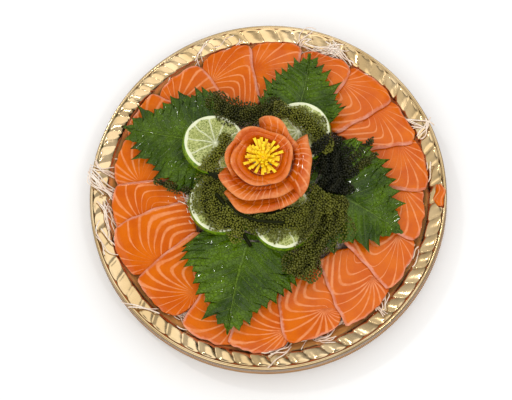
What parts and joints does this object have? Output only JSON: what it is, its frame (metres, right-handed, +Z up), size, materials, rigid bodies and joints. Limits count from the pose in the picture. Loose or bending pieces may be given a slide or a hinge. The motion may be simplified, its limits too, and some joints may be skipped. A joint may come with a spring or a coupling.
{
  "type": "sashimi plate",
  "caption": "Round gold party tray with overlapping salmon sashimi slices in a ring, shiso leaves, lime, sea grapes and a salmon rose holding a yellow flower",
  "frame": {"origin": "centre of the tray's flat underside", "axes": "+Z up out of the tray; seen from above, +Y runs towards the back of the plate and +X to the right"},
  "size_m": [0.296, 0.296, 0.0636],
  "materials": {
    "tray": "gold-metallised, glossy",
    "radish": "wet translucent shredded white radish",
    "salmon": "raw salmon with pale fat lines, moist",
    "shiso": "green leaf with raised veins, slightly glossy",
    "lime": "cut lime with green rind, juicy",
    "flower": "yellow petals, soft matte",
    "sea_grapes": "wet olive green beads"
  },
  "bodies": {
    "root": {"tray": "tray", "radish_bed": "radish", "salmon_slice_01": "salmon", "salmon_slice_02": "salmon", "salmon_slice_03": "salmon", "salmon_slice_04": "salmon", "salmon_slice_05": "salmon", "salmon_slice_06": "salmon", "salmon_slice_07": "salmon", "salmon_slice_08": "salmon", "salmon_slice_09": "salmon", "salmon_slice_10": "salmon", "salmon_slice_11": "salmon", "salmon_slice_12": "salmon", "salmon_slice_13": "salmon", "salmon_slice_14": "salmon", "salmon_slice_15": "salmon", "salmon_slice_16": "salmon", "salmon_slice_17": "salmon", "salmon_slice_18": "salmon", "salmon_offcut": "salmon", "shiso_leaf_left": "shiso", "shiso_leaf_back": "shiso", "shiso_leaf_right": "shiso", "shiso_leaf_front": "shiso", "lime_slice_left": "lime", "lime_slice_back": "lime", "lime_slice_low": "lime", "lime_slice_front": "lime", "rose_heart_petal_1": "salmon", "rose_heart_petal_2": "salmon", "rose_middle_petal_1": "salmon", "rose_middle_petal_2": "salmon", "rose_middle_petal_3": "salmon", "rose_outer_petal_1": "salmon", "rose_outer_petal_2": "salmon", "rose_outer_petal_3": "salmon", "rose_outer_petal_4": "salmon", "rose_skirt_petal_1": "salmon", "rose_skirt_petal_2": "salmon", "flower": "flower", "sea_grapes_back": "sea_grapes", "sea_grapes_back_right": "sea_grapes", "sea_grapes_right": "sea_grapes", "sea_grapes_right_upper": "sea_grapes", "sea_grapes_right_lower": "sea_grapes", "sea_grapes_front_right": "sea_grapes", "sea_grapes_front": "sea_grapes", "sea_grapes_left": "sea_grapes", "sea_grapes_left_upper": "sea_grapes", "sea_grapes_far_left": "sea_grapes"}
  },
  "joints": []
}
